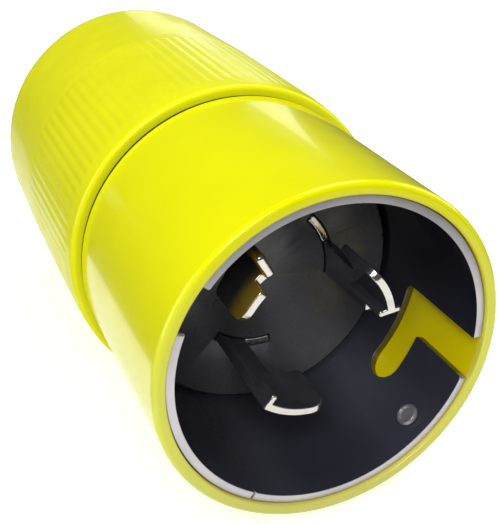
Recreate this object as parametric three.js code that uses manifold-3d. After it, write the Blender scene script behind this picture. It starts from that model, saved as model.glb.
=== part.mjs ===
// Locking shore-power plug, 50 A class, lying on its side.
//
// Frame: millimetres, +Z up. The origin is the centre of the flat contact floor at the bottom of the
// cup, and the plug mates towards -Y. "Depth" below is a distance along +Y from the mouth to the
// cord end; every piece is built by its depth, and the whole plug is then moved back so that the
// floor lies at the origin.
// Angles are in degrees from +X, counter-clockwise as seen from in front of the mouth.

import * as THREE from 'three';
import { mergeVertices } from 'three/addons/utils/BufferGeometryUtils.js';
import Module from 'manifold-3d';

const wasm = await Module();
wasm.setup();

// ---- driving dimensions -----------------------------------------------------------------------

const CLEARANCE = 0.3; // running gap between pieces that meet
const ROUND = 60; // facets on a large round surface
const SMALL_ROUND = 20; // facets on a screw or a hole

const FRONT_RADIUS = 34.5; // front housing, outside
const SEAM_DEPTH = 50.3; // back edge of the front housing's outside
const SEAM_GAP = 1.2; // groove between the two housings
const BORE_RADIUS = 32.2; // front housing, inside
const WEB_DEPTH = 42.2; // front face of the housing's inner web
const WEB_THICKNESS = 5.4;
const WEB_HOLE_RADIUS = 19;
const SPIGOT_RADIUS = 31.4; // sleeve that enters the rear housing
const SPIGOT_INNER_RADIUS = 29.2;
const SPIGOT_END = 57;

const SHELL_INNER_RADIUS = 30.2;
const SHELL_OUTER_RADIUS = 31.9;
const SHELL_FRONT = 0.9; // the ground shell starts just inside the mouth
const SHELL_LENGTH = 41.9;
const SHELL_SEAM_ANGLE = -120.4; // butt joint of the rolled sheet
const SHELL_SEAM_WIDTH = 0.35;
const SLOT_ENTRY_ANGLES = [-5.5, 157.5]; // counter-clockwise edge of each L-shaped slot
const SLOT_ENTRY_SPAN = 16;
const SLOT_LEG_END = 40; // from the entry edge to the rounded end of the leg
const SLOT_DEPTH = 26.2;
const SLOT_LEG_WIDTH = 8.7;
const SLOT_CORNER_RADIUS = 2;

const RIVET_ANGLE = -47; // holds the ground shell in the housing
const RIVET_DEPTH = 6.3;
const RIVET_HEAD_RADIUS = 2.4;
const RIVET_SHANK_RADIUS = 1.2;

const FLOOR_DEPTH = 35.6; // the cup's floor, which is the front of the contact carrier
const CARRIER_RADIUS = 29.8;
const HUB_RADIUS = 18.6;
const BLADE_INNER_RADIUS = 15.2;
const BLADE_OUTER_RADIUS = 16.9;
const BLADE_TIP_DEPTH = 8;
const HOOK_BACK_DEPTH = 21;
const BLADE_END = 51.2;

const HOLDER_FRONT = 47.9; // terminal holder, behind the web
const HOLDER_BACK = 69.6;
const HOLDER_RADIUS = 21.7;
const BLOCK_INNER = 11; // terminal block, nearest and furthest from the axis
const BLOCK_OUTER = 20;
const BLOCK_WIDTH = 10;
const BLOCK_FRONT = 51.6;
const BLOCK_BACK = 67.6;
const TERMINAL_SCREW_DEPTH = 61.1;
const TERMINAL_TRAVEL = 4;

const LIP_RADIUS = 36.5; // rear housing, between the seam and the ribs
const GRIP_RADIUS = 37; // crests of the rear housing's ribs
const RIB_HEIGHT = 0.45;
const RIB_COUNT = 94;
const RIB_START = 55;
const RIB_END = 94.5;
const BACK_RADIUS = 35.8;
const BODY_LENGTH = 135;
const WALL = 3;
const SOCKET_RADIUS = 31.8; // rear housing, inside, where it takes the spigot
const CAVITY_RADIUS = 33; // rear housing, inside, behind the spigot
const CORD_HOLE_RADIUS = 14.6;
const CORD_RADIUS = 12;

const ASSEMBLY_SCREW_ANGLES = [90, -90];
const ASSEMBLY_SCREW_CIRCLE = 26.3;
const BOSS_RADIUS = 4;
const ASSEMBLY_HEAD_DEPTH = 127; // where the head seats in its counterbore

const CLAMP_DEPTH = 115; // middle of the cord clamp
const CLAMP_WIDTH = 13;
const CLAMP_SCREW_X = 18;
const CLAMP_GAP = 9; // from the axis to each jaw's flat
const CLAMP_HEIGHT = 20;
const CLAMP_SEAT = -20.6; // top of the bosses that carry the lower jaw
const CLAMP_HEAD_SEAT = -25;

// the shank, which runs from the carrier to shankFront, and the hook across the blade's tip,
// each between two angles counted counter-clockwise
const BLADES = [
  { pole: 'x', shank: [-128, -104], shankFront: 12, hook: [-130, -80] },
  { pole: 'y', shank: [118, 139], shankFront: 12, hook: [131, 157] },
  { pole: 'w', shank: [-8, 20], shankFront: 17, hook: [7, 47] },
];
const GROUND_ANGLE = -52;

// ---- finishes ---------------------------------------------------------------------------------

function finish(color, roughness, metalness) {
  return new THREE.MeshStandardMaterial({ color, roughness, metalness });
}

const FINISHES = {
  yellowGloss: () => finish(0xeeee14, 0.25, 0),
  yellowSatin: () => finish(0xe8e82a, 0.45, 0),
  blackPlastic: () => finish(0x1d1d22, 0.4, 0),
  blackRubber: () => finish(0x141416, 0.8, 0),
  nickel: () => finish(0xc9c7c0, 0.2, 1),
  steel: () => finish(0xb4b6ba, 0.3, 1),
  brass: () => finish(0xc2a04a, 0.3, 1),
};

// ---- solids and booleans ----------------------------------------------------------------------

function signedVolume(position, triangles) {
  const a = new THREE.Vector3();
  const b = new THREE.Vector3();
  const c = new THREE.Vector3();
  let volume = 0;
  for (let i = 0; i < triangles.length; i += 3) {
    a.fromBufferAttribute(position, triangles[i]);
    b.fromBufferAttribute(position, triangles[i + 1]);
    c.fromBufferAttribute(position, triangles[i + 2]);
    volume += a.dot(b.cross(c)) / 6;
  }
  return volume;
}

function solid(geometry) {
  geometry.deleteAttribute('normal');
  geometry.deleteAttribute('uv');
  const merged = mergeVertices(geometry, 1e-4);
  const index = merged.index.array;
  let triangles = [];
  for (let i = 0; i < index.length; i += 3) {
    const [a, b, c] = [index[i], index[i + 1], index[i + 2]];
    if (a !== b && b !== c && c !== a) triangles.push(a, b, c);
  }
  if (signedVolume(merged.attributes.position, triangles) < 0) triangles = triangles.reverse();
  return new wasm.Manifold(new wasm.Mesh({
    numProp: 3,
    vertProperties: new Float32Array(merged.attributes.position.array),
    triVerts: new Uint32Array(triangles),
  }));
}

function cut(body, cutters) {
  return cutters.reduce((rest, cutter) => rest.subtract(cutter), body);
}

function join(bodies) {
  return bodies.reduce((whole, body) => whole.add(body));
}

function named(name, body, material) {
  const mesh = body.getMesh();
  const geometry = new THREE.BufferGeometry();
  geometry.setAttribute('position', new THREE.BufferAttribute(mesh.vertProperties, 3));
  geometry.setIndex(new THREE.BufferAttribute(mesh.triVerts, 1));
  const result = new THREE.Mesh(geometry, material);
  result.name = name;
  return result;
}

// a profile of [radius, depth] points turned about the plug's axis
function turned(profile, facets = ROUND) {
  return solid(new THREE.LatheGeometry(profile.map(([r, y]) => new THREE.Vector2(r, y)), facets));
}

// a closed ring: the profile returns to its first point
function ring(profile, facets = ROUND) {
  return turned([...profile, profile[0]], facets);
}

function radians(degrees) {
  return THREE.MathUtils.degToRad(degrees);
}

// an outline in the X-Z plane, carried from one depth to another
function prism(outline, fromDepth, toDepth, curveSegments = 8) {
  const geometry = new THREE.ExtrudeGeometry(outline, {
    depth: toDepth - fromDepth, bevelEnabled: false, curveSegments,
  });
  return solid(geometry.rotateX(Math.PI / 2).translate(0, toDepth, 0));
}

// part of a ring between two angles
function sector(inner, outer, fromAngle, toAngle, fromDepth, toDepth) {
  const outline = new THREE.Shape();
  outline.absarc(0, 0, outer, radians(fromAngle), radians(toAngle), false);
  outline.absarc(0, 0, inner, radians(toAngle), radians(fromAngle), true);
  return prism(outline, fromDepth, toDepth, 6);
}

// a plate bent round the axis; the depth of its front edge is a function of the angle
function bentPlate(inner, outer, fromAngle, toAngle, frontDepth, backDepth) {
  const columns = 14;
  const geometry = new THREE.BoxGeometry(1, 1, 1, columns, 1, 1).translate(0.5, 0.5, 0.5);
  const corner = geometry.attributes.position;
  for (let i = 0; i < corner.count; i += 1) {
    const angle = fromAngle + corner.getX(i) * (toAngle - fromAngle);
    const depth = corner.getY(i) < 0.5 ? frontDepth(angle) : backDepth;
    const radius = corner.getZ(i) < 0.5 ? inner : outer;
    corner.setXYZ(i, radius * Math.cos(radians(angle)), depth, radius * Math.sin(radians(angle)));
  }
  return solid(geometry);
}

// a box from its lowest to its highest corner, turned about the axis so that +X points at the angle
function box(low, high, angle = 0) {
  const size = high.map((value, i) => value - low[i]);
  const middle = high.map((value, i) => (value + low[i]) / 2);
  const geometry = new THREE.BoxGeometry(...size).translate(...middle);
  return solid(geometry.rotateY(-radians(angle)));
}

// a round rod parallel to the axis
function axialRod(radius, fromDepth, toDepth, circle = 0, angle = 0, facets = SMALL_ROUND) {
  const geometry = new THREE.CylinderGeometry(radius, radius, toDepth - fromDepth, facets);
  geometry.translate(circle, (fromDepth + toDepth) / 2, 0);
  return solid(geometry.rotateY(-radians(angle)));
}

// a round rod that points away from the axis
function radialRod(radius, fromRadius, toRadius, depth, angle = 0, facets = SMALL_ROUND) {
  const geometry = new THREE.CylinderGeometry(radius, radius, toRadius - fromRadius, facets);
  geometry.rotateZ(-Math.PI / 2).translate((fromRadius + toRadius) / 2, depth, 0);
  return solid(geometry.rotateY(-radians(angle)));
}

// a round rod that stands along Z
function uprightRod(radius, fromHeight, toHeight, x, facets = SMALL_ROUND) {
  const geometry = new THREE.CylinderGeometry(radius, radius, toHeight - fromHeight, facets);
  geometry.rotateX(Math.PI / 2).translate(x, CLAMP_DEPTH, (fromHeight + toHeight) / 2);
  return solid(geometry);
}

// ---- front end --------------------------------------------------------------------------------

function shankAngle(blade) {
  return (blade.shank[0] + blade.shank[1]) / 2;
}

// the passage of the ground strap through the web and along the spigot's inside
function strapSlot() {
  return box([28.4, WEB_DEPTH - 1, -4], [30.3, 51.1, 4], GROUND_ANGLE);
}

function frontHousing() {
  const webBack = WEB_DEPTH + WEB_THICKNESS;
  const body = ring([
    [BORE_RADIUS, 0], [FRONT_RADIUS - 0.8, 0], [FRONT_RADIUS - 0.2, 0.3], [FRONT_RADIUS, 0.9],
    [FRONT_RADIUS, SEAM_DEPTH - 0.6], [FRONT_RADIUS - 0.4, SEAM_DEPTH], [SPIGOT_RADIUS, SEAM_DEPTH],
    [SPIGOT_RADIUS, SPIGOT_END - 0.4], [SPIGOT_RADIUS - 0.4, SPIGOT_END],
    [SPIGOT_INNER_RADIUS, SPIGOT_END], [SPIGOT_INNER_RADIUS, webBack],
    [WEB_HOLE_RADIUS, webBack], [WEB_HOLE_RADIUS, WEB_DEPTH], [BORE_RADIUS, WEB_DEPTH],
  ]);
  const bosses = ASSEMBLY_SCREW_ANGLES.map((angle) => (
    axialRod(BOSS_RADIUS, webBack - 1, SPIGOT_END, ASSEMBLY_SCREW_CIRCLE, angle)));
  const holes = ASSEMBLY_SCREW_ANGLES.map((angle) => (
    axialRod(2.2, WEB_DEPTH + 1.4, SPIGOT_END + 1, ASSEMBLY_SCREW_CIRCLE, angle)));
  return named('front_housing',
    cut(join([body, ...bosses]), [...holes, strapSlot(), rivetHole(BORE_RADIUS + 0.9)]),
    FINISHES.yellowGloss());
}

function rivetHole(outer) {
  const radius = RIVET_SHANK_RADIUS + CLEARANCE;
  return radialRod(radius, SHELL_INNER_RADIUS - 2, outer, RIVET_DEPTH, RIVET_ANGLE, 12);
}

// one L-shaped slot: an entry from the mouth, then a leg that runs clockwise to a rounded end
function shellSlot(entryAngle) {
  const inner = SHELL_INNER_RADIUS - 2;
  const outer = SHELL_OUTER_RADIUS + 2;
  const middle = (SHELL_INNER_RADIUS + SHELL_OUTER_RADIUS) / 2;
  const legRadius = SLOT_LEG_WIDTH / 2;
  const cornerAngle = entryAngle - THREE.MathUtils.radToDeg(SLOT_CORNER_RADIUS / middle);
  const legAngle = entryAngle - SLOT_LEG_END + THREE.MathUtils.radToDeg(legRadius / middle);
  const farEdge = entryAngle - SLOT_ENTRY_SPAN;
  return join([
    sector(inner, outer, farEdge, entryAngle, -1, SLOT_DEPTH - SLOT_CORNER_RADIUS),
    sector(inner, outer, legAngle, cornerAngle, SLOT_DEPTH - SLOT_LEG_WIDTH, SLOT_DEPTH),
    radialRod(SLOT_CORNER_RADIUS, inner, outer, SLOT_DEPTH - SLOT_CORNER_RADIUS, cornerAngle, 16),
    radialRod(legRadius, inner, outer, SLOT_DEPTH - legRadius, legAngle, 16),
  ]);
}

function groundShell() {
  const sleeve = ring([
    [SHELL_INNER_RADIUS, SHELL_FRONT], [SHELL_OUTER_RADIUS, SHELL_FRONT],
    [SHELL_OUTER_RADIUS, SHELL_LENGTH], [SHELL_INNER_RADIUS, SHELL_LENGTH],
  ]);
  const seam = box([SHELL_INNER_RADIUS - 2, -1, -SHELL_SEAM_WIDTH / 2],
    [SHELL_OUTER_RADIUS + 2, SHELL_LENGTH + 1, SHELL_SEAM_WIDTH / 2], SHELL_SEAM_ANGLE);
  const slots = SLOT_ENTRY_ANGLES.map(shellSlot);
  return named('ground_shell',
    cut(sleeve, [seam, rivetHole(SHELL_OUTER_RADIUS + 2), ...slots]), FINISHES.nickel());
}

// the head is inside the cup, and the shank ends inside the housing's wall
function shellRivet() {
  const seat = SHELL_INNER_RADIUS - CLEARANCE;
  const tip = BORE_RADIUS + 0.6;
  const profile = [
    [0, seat - 0.9], [1.3, seat - 0.8], [2.1, seat - 0.4], [RIVET_HEAD_RADIUS, seat],
    [RIVET_SHANK_RADIUS, seat], [RIVET_SHANK_RADIUS, tip], [0, tip],
  ];
  const points = profile.map(([across, along]) => new THREE.Vector2(across, along));
  const geometry = new THREE.LatheGeometry(points, 16);
  geometry.rotateZ(-Math.PI / 2).translate(0, RIVET_DEPTH, 0).rotateY(-radians(RIVET_ANGLE));
  return named('shell_rivet', solid(geometry), FINISHES.nickel());
}

// ---- blades and the pieces that hold them -----------------------------------------------------

// each blade has a flange square to the axis, which keeps it out of another pole's slot
const FLANGES = {
  x: { angle: -130, inner: 13.4, outer: 16, front: BLADE_TIP_DEPTH, back: 14, thickness: 1.3 },
  y: { angle: 118, inner: 16, outer: 21.5, front: 10, back: FLOOR_DEPTH + 3, thickness: 2 },
  w: { angle: 7, inner: 13.2, outer: 18, front: BLADE_TIP_DEPTH, back: HOOK_BACK_DEPTH, thickness: 1.3 },
};
const TIP_CORNER_RADIUS = 3;
const ROOT_DEPTH = 3; // the blade's wide foot, let into the carrier's face

function bladeFlange(blade, gap = 0) {
  const flange = FLANGES[blade.pole];
  const low = [flange.inner - gap, flange.front, -gap];
  const high = [flange.outer + gap, flange.back + gap, flange.thickness + gap];
  return box(low, high, flange.angle);
}

// how far a rounded corner draws back the edge at some distance from the corner
function cornerSetback(distance) {
  const run = TIP_CORNER_RADIUS - Math.min(distance, TIP_CORNER_RADIUS);
  return TIP_CORNER_RADIUS - Math.sqrt(TIP_CORNER_RADIUS ** 2 - run ** 2);
}

function bladeSolid(blade) {
  const [inner, outer] = [BLADE_INNER_RADIUS, BLADE_OUTER_RADIUS];
  const [hookStart, hookEnd] = blade.hook;
  const [shankStart, shankEnd] = blade.shank;
  const hookFront = (angle) => BLADE_TIP_DEPTH + cornerSetback(radians(hookEnd - angle) * outer);
  const pieces = [
    bentPlate(inner, outer, hookStart, hookEnd, hookFront, HOOK_BACK_DEPTH),
    sector(inner, outer, shankStart, shankEnd, blade.shankFront, BLADE_END),
    sector(inner, outer, shankStart, hookEnd - 2, FLOOR_DEPTH, FLOOR_DEPTH + ROOT_DEPTH),
    bladeFlange(blade),
  ];
  return named(`blade_${blade.pole}`, join(pieces), FINISHES.nickel());
}

function bladeSlot(blade) {
  const gap = 0.25;
  const gapAngle = 1;
  const [inner, outer] = [BLADE_INNER_RADIUS - gap, BLADE_OUTER_RADIUS + gap];
  const start = blade.shank[0] - gapAngle;
  const shankEnd = blade.shank[1] + gapAngle;
  const rootEnd = blade.hook[1] - 2 + gapAngle;
  const front = FLOOR_DEPTH - 1;
  return join([
    sector(inner, outer, start, shankEnd, front, HOLDER_FRONT + 6),
    sector(inner, outer, start, rootEnd, front, FLOOR_DEPTH + ROOT_DEPTH + CLEARANCE),
    bladeFlange(blade, gap),
  ]);
}

const INSULATOR_SCREW_CIRCLE = 6;
const INSULATOR_SCREW_ANGLES = [-50, 130];

function contactCarrier() {
  const hubEnd = HOLDER_FRONT - CLEARANCE;
  const body = turned([
    [0, FLOOR_DEPTH], [CARRIER_RADIUS - 0.5, FLOOR_DEPTH], [CARRIER_RADIUS, FLOOR_DEPTH + 0.5],
    [CARRIER_RADIUS, SHELL_LENGTH], [HUB_RADIUS, SHELL_LENGTH], [HUB_RADIUS, hubEnd], [0, hubEnd],
  ]);
  const strapNotch = box([28.4, FLOOR_DEPTH + 2, -4], [33, SHELL_LENGTH + 1, 4], GROUND_ANGLE);
  const screwHoles = INSULATOR_SCREW_ANGLES.map((angle) => (
    axialRod(1.8, FLOOR_DEPTH + 3, hubEnd + 1, INSULATOR_SCREW_CIRCLE, angle, 12)));
  return named('contact_carrier',
    cut(body, [...BLADES.map(bladeSlot), strapNotch, ...screwHoles]), FINISHES.blackPlastic());
}

function terminalAngles() {
  return [...BLADES.map(shankAngle), GROUND_ANGLE];
}

function terminalHolder() {
  const body = turned([
    [0, HOLDER_FRONT], [HOLDER_RADIUS, HOLDER_FRONT], [HOLDER_RADIUS, HOLDER_BACK - 0.5],
    [HOLDER_RADIUS - 0.5, HOLDER_BACK], [0, HOLDER_BACK],
  ]);
  const half = BLOCK_WIDTH / 2 + CLEARANCE;
  const pockets = terminalAngles().map((angle) => (
    box([BLOCK_INNER - CLEARANCE, BLOCK_FRONT - CLEARANCE, -half], [25, HOLDER_BACK + 1, half], angle)));
  const strapNotch = box([BLOCK_OUTER - 0.1, HOLDER_FRONT - 1, -4], [25, BLOCK_FRONT, 4], GROUND_ANGLE);
  const screwHoles = INSULATOR_SCREW_ANGLES.map((angle) => (
    axialRod(1.8, HOLDER_FRONT - 1, HOLDER_BACK + 1, INSULATOR_SCREW_CIRCLE, angle, 12)));
  return named('terminal_holder',
    cut(body, [...BLADES.map(bladeSlot), ...pockets, strapNotch, ...screwHoles]),
    FINISHES.blackPlastic());
}

function insulatorScrew(angle, i) {
  const seat = HOLDER_BACK + CLEARANCE;
  const shaft = axialRod(1.5, FLOOR_DEPTH + 4, seat + 0.5, INSULATOR_SCREW_CIRCLE, angle, 12);
  const head = axialRod(2.9, seat, seat + 2.2, INSULATOR_SCREW_CIRCLE, angle, 12);
  const slot = box([INSULATOR_SCREW_CIRCLE - 4, seat + 1.2, -0.4],
    [INSULATOR_SCREW_CIRCLE + 4, seat + 3, 0.4], angle);
  return named(`insulator_screw_${i + 1}`, cut(join([shaft, head]), [slot]), FINISHES.steel());
}

// ---- terminals, in a frame whose +X points away from the plug's axis --------------------------

const WIRE_WINDOW = { inner: 12.3, outer: 18, halfWidth: 3.6, front: BLOCK_FRONT + 2.5 };
const PAD_THICKNESS = 0.9;
const TERMINAL_SCREW_RADIUS = 2.4;

function terminalBlock(pole) {
  const half = BLOCK_WIDTH / 2;
  const body = box([BLOCK_INNER, BLOCK_FRONT, -half], [BLOCK_OUTER, BLOCK_BACK, half]);
  const window = box([WIRE_WINDOW.inner, WIRE_WINDOW.front, -WIRE_WINDOW.halfWidth],
    [WIRE_WINDOW.outer, BLOCK_BACK + 1, WIRE_WINDOW.halfWidth]);
  const screwHole = radialRod(TERMINAL_SCREW_RADIUS + CLEARANCE, WIRE_WINDOW.outer - 1,
    BLOCK_OUTER + 1, TERMINAL_SCREW_DEPTH);
  return named(`terminal_block_${pole}`, cut(body, [window, screwHole]), FINISHES.brass());
}

function pressurePad(pole) {
  const outer = WIRE_WINDOW.outer - CLEARANCE;
  const half = WIRE_WINDOW.halfWidth - CLEARANCE;
  const body = box([outer - PAD_THICKNESS, WIRE_WINDOW.front + 1, -half],
    [outer, BLOCK_BACK - 1, half]);
  return named(`pressure_pad_${pole}`, body, FINISHES.nickel());
}

function terminalScrew(pole) {
  const headSeat = BLOCK_OUTER + TERMINAL_TRAVEL + CLEARANCE;
  const headTop = headSeat + 2.5;
  const shaft = radialRod(TERMINAL_SCREW_RADIUS, WIRE_WINDOW.outer - 0.1, headSeat + 0.5,
    TERMINAL_SCREW_DEPTH);
  const head = radialRod(3.4, headSeat, headTop, TERMINAL_SCREW_DEPTH);
  const slot = box([headTop - 1.2, TERMINAL_SCREW_DEPTH - 4, -0.5],
    [headTop + 1, TERMINAL_SCREW_DEPTH + 4, 0.5]);
  return named(`terminal_screw_${pole}`, cut(join([shaft, head]), [slot]), FINISHES.steel());
}

function terminal(pole, angle) {
  const group = new THREE.Group();
  group.rotation.y = -radians(angle);
  group.add(terminalBlock(pole), pressurePad(pole), terminalScrew(pole));
  return group;
}

// brass strip from the shell, through the web, to the ground terminal's outer face
function groundStrap() {
  const halfWidth = 3.5;
  const thickness = 1.2;
  const shellSide = 29.9;
  const blockSide = BLOCK_OUTER + CLEARANCE;
  const crossing = HOLDER_FRONT + 0.9;
  const outline = [
    [shellSide, FLOOR_DEPTH + 2.4, shellSide - thickness, crossing + thickness],
    [shellSide, crossing, blockSide, crossing + thickness],
    [blockSide + thickness, crossing, blockSide, BLOCK_FRONT + 4.5],
  ];
  const strips = outline.map(([outer, front, inner, back]) => (
    box([inner, front, -halfWidth], [outer, back, halfWidth])));
  const strap = named('ground_strap', join(strips), FINISHES.brass());
  strap.rotation.y = -radians(GROUND_ANGLE);
  return strap;
}

// ---- rear end ---------------------------------------------------------------------------------

function seamGasket() {
  const middle = SEAM_DEPTH + SEAM_GAP / 2;
  const inner = SPIGOT_RADIUS + CLEARANCE;
  const outer = FRONT_RADIUS - 0.6;
  return named('seam_gasket', ring([
    [inner, middle - 0.3], [outer, middle - 0.3], [outer, middle + 0.3], [inner, middle + 0.3],
  ]), FINISHES.blackRubber());
}

// the ribs' crests and roots, alternating round the grip
function ribOutline() {
  const points = [];
  for (let i = 0; i < RIB_COUNT * 2; i += 1) {
    const radius = i % 2 === 0 ? GRIP_RADIUS : GRIP_RADIUS - RIB_HEIGHT;
    const angle = (i * Math.PI) / RIB_COUNT;
    points.push(new THREE.Vector2(radius * Math.cos(angle), radius * Math.sin(angle)));
  }
  return new THREE.Shape(points);
}

function rearOutside() {
  const front = SEAM_DEPTH + SEAM_GAP;
  const root = GRIP_RADIUS - RIB_HEIGHT - 0.1;
  const skin = turned([
    [0, front], [LIP_RADIUS - 0.8, front], [LIP_RADIUS - 0.2, front + 0.3],
    [LIP_RADIUS, front + 0.9], [root, RIB_START], [root, RIB_END], [GRIP_RADIUS, RIB_END + 0.7],
    [BACK_RADIUS, BODY_LENGTH - 4], [BACK_RADIUS - 0.6, BODY_LENGTH - 1.6],
    [BACK_RADIUS - 2.2, BODY_LENGTH - 0.3], [BACK_RADIUS - 4, BODY_LENGTH], [0, BODY_LENGTH],
  ]);
  return skin.add(prism(ribOutline(), RIB_START, RIB_END, 1));
}

function rearCavity() {
  const front = SEAM_DEPTH + SEAM_GAP - 1;
  const socketEnd = SPIGOT_END + 2;
  const backWall = BODY_LENGTH - WALL - 0.5;
  return turned([
    [0, front], [SOCKET_RADIUS, front], [SOCKET_RADIUS, socketEnd], [CAVITY_RADIUS, socketEnd + 1.2],
    [CAVITY_RADIUS, RIB_END], [BACK_RADIUS - WALL, backWall], [0, backWall],
  ]);
}

function rearHousing() {
  const outside = rearOutside();
  const clampSides = [-CLAMP_SCREW_X, CLAMP_SCREW_X];
  const tubes = ASSEMBLY_SCREW_ANGLES.map((angle) => (
    axialRod(BOSS_RADIUS, SPIGOT_END + CLEARANCE, BODY_LENGTH - 1, ASSEMBLY_SCREW_CIRCLE, angle)));
  const headWells = ASSEMBLY_SCREW_ANGLES.map((angle) => (
    axialRod(BOSS_RADIUS + 1.6, ASSEMBLY_HEAD_DEPTH - 3, BODY_LENGTH - 1, ASSEMBLY_SCREW_CIRCLE, angle)));
  const clampPosts = clampSides.map((x) => uprightRod(6.6, -33, CLAMP_SEAT, x));
  const inside = join([...tubes, ...headWells, ...clampPosts]).intersect(outside);
  const holes = ASSEMBLY_SCREW_ANGLES.flatMap((angle) => [
    axialRod(2.3, SPIGOT_END - 1, BODY_LENGTH + 1, ASSEMBLY_SCREW_CIRCLE, angle),
    axialRod(4.2, ASSEMBLY_HEAD_DEPTH, BODY_LENGTH + 1, ASSEMBLY_SCREW_CIRCLE, angle),
  ]);
  const clampHoles = clampSides.flatMap((x) => [
    uprightRod(2.9, -40, CLAMP_SEAT + 1, x),
    uprightRod(4.9, -40, CLAMP_HEAD_SEAT, x),
  ]);
  const cordHole = axialRod(CORD_HOLE_RADIUS, BODY_LENGTH - 6, BODY_LENGTH + 1, 0, 0, 40);
  const hollow = outside.subtract(rearCavity());
  return named('rear_housing', cut(hollow.add(inside), [...holes, ...clampHoles, cordHole]),
    FINISHES.yellowSatin());
}

function cordGrommet() {
  const wallFront = BODY_LENGTH - WALL - 0.5 - CLEARANCE;
  const wallBack = BODY_LENGTH + CLEARANCE;
  const neck = CORD_HOLE_RADIUS - CLEARANCE;
  const lip = CORD_HOLE_RADIUS + 2.6;
  return named('cord_grommet', ring([
    [CORD_RADIUS, wallFront - 3], [lip - 1, wallFront - 3], [lip, wallFront - 2],
    [lip, wallFront], [neck, wallFront], [neck, wallBack], [lip, wallBack],
    [lip, wallBack + 1.2], [lip - 1.2, wallBack + 2.4], [CORD_RADIUS, wallBack + 2.4],
  ], 40), FINISHES.blackRubber());
}

function assemblyScrew(angle, i) {
  const seat = ASSEMBLY_HEAD_DEPTH + CLEARANCE;
  const top = seat + 3.4;
  const shaft = axialRod(1.9, WEB_DEPTH + 2, seat + 0.5, ASSEMBLY_SCREW_CIRCLE, angle, 16);
  const head = axialRod(3.8, seat, top, ASSEMBLY_SCREW_CIRCLE, angle, 16);
  const slots = [
    box([ASSEMBLY_SCREW_CIRCLE - 2.4, top - 1.6, -0.5], [ASSEMBLY_SCREW_CIRCLE + 2.4, top + 1, 0.5], angle),
    box([ASSEMBLY_SCREW_CIRCLE - 0.5, top - 1.6, -2.4], [ASSEMBLY_SCREW_CIRCLE + 0.5, top + 1, 2.4], angle),
  ];
  return named(`assembly_screw_${i + 1}`, cut(join([shaft, head]), slots), FINISHES.steel());
}

// ---- cord clamp -------------------------------------------------------------------------------

// a bar hollowed by the cord, with two screw holes; side is +1 above the cord and -1 below
function clampBar(side, outerHeight) {
  const halfWidth = 24;
  const corner = 3.5;
  const hollow = CORD_RADIUS + 1;
  const start = Math.asin(CLAMP_GAP / hollow);
  const outline = new THREE.Shape();
  outline.moveTo(halfWidth, CLAMP_GAP * side);
  outline.lineTo(halfWidth, (outerHeight - corner) * side);
  outline.lineTo(halfWidth - corner, outerHeight * side);
  outline.lineTo(corner - halfWidth, outerHeight * side);
  outline.lineTo(-halfWidth, (outerHeight - corner) * side);
  outline.lineTo(-halfWidth, CLAMP_GAP * side);
  outline.absarc(0, 0, hollow, (Math.PI - start) * side, start * side, side > 0);
  outline.closePath();
  const bar = prism(outline, CLAMP_DEPTH - CLAMP_WIDTH / 2, CLAMP_DEPTH + CLAMP_WIDTH / 2, 12);
  const holes = [-CLAMP_SCREW_X, CLAMP_SCREW_X].map((x) => uprightRod(2.9, -40, 40, x));
  return cut(bar, holes);
}

const NUT_RADIUS = 4.6; // across corners / 2
const NUT_THICKNESS = 3.6;

function hexPrism(radius, fromHeight, toHeight, x) {
  return uprightRod(radius, fromHeight, toHeight, x, 6);
}

function clampSaddleUpper() {
  const pockets = [-CLAMP_SCREW_X, CLAMP_SCREW_X].map((x) => (
    hexPrism(NUT_RADIUS + CLEARANCE, CLAMP_HEIGHT - NUT_THICKNESS - CLEARANCE, CLAMP_HEIGHT + 5, x)));
  return named('clamp_saddle_upper', cut(clampBar(1, CLAMP_HEIGHT), pockets), FINISHES.blackPlastic());
}

function clampJawLower() {
  return named('clamp_jaw_lower', clampBar(-1, -CLAMP_SEAT - CLEARANCE), FINISHES.blackPlastic());
}

function clampNut(side, x) {
  const nut = hexPrism(NUT_RADIUS, CLAMP_HEIGHT - NUT_THICKNESS, CLAMP_HEIGHT, x);
  return named(`clamp_nut_${side}`, nut.subtract(uprightRod(2.8, 0, 40, x)), FINISHES.steel());
}

function clampScrew(side, x) {
  const seat = CLAMP_HEAD_SEAT - CLEARANCE;
  const bottom = seat - 3.2;
  const shaft = uprightRod(2.5, seat - 0.5, CLAMP_HEIGHT + 1.5, x);
  const head = uprightRod(4.5, bottom, seat, x);
  const slot = box([x - 6, CLAMP_DEPTH - 0.6, bottom - 1], [x + 6, CLAMP_DEPTH + 0.6, bottom + 1.4]);
  return named(`clamp_screw_${side}`, cut(join([shaft, head]), [slot]), FINISHES.steel());
}

// ---- the plug ---------------------------------------------------------------------------------

function plug() {
  const group = new THREE.Group();
  group.position.y = -FLOOR_DEPTH;
  group.add(
    frontHousing(), groundShell(), shellRivet(), contactCarrier(), terminalHolder(),
    ...BLADES.map(bladeSolid), ...BLADES.map((blade) => terminal(blade.pole, shankAngle(blade))),
    terminal('g', GROUND_ANGLE), groundStrap(), ...INSULATOR_SCREW_ANGLES.map(insulatorScrew),
    seamGasket(), rearHousing(), cordGrommet(), ...ASSEMBLY_SCREW_ANGLES.map(assemblyScrew),
    clampSaddleUpper(), clampJawLower(), clampNut('left', -CLAMP_SCREW_X),
    clampNut('right', CLAMP_SCREW_X), clampScrew('left', -CLAMP_SCREW_X),
    clampScrew('right', CLAMP_SCREW_X),
  );
  return group;
}

export default plug();
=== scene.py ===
import math

import bmesh
import bpy
import numpy as np
from mathutils import Matrix, Vector


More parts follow.
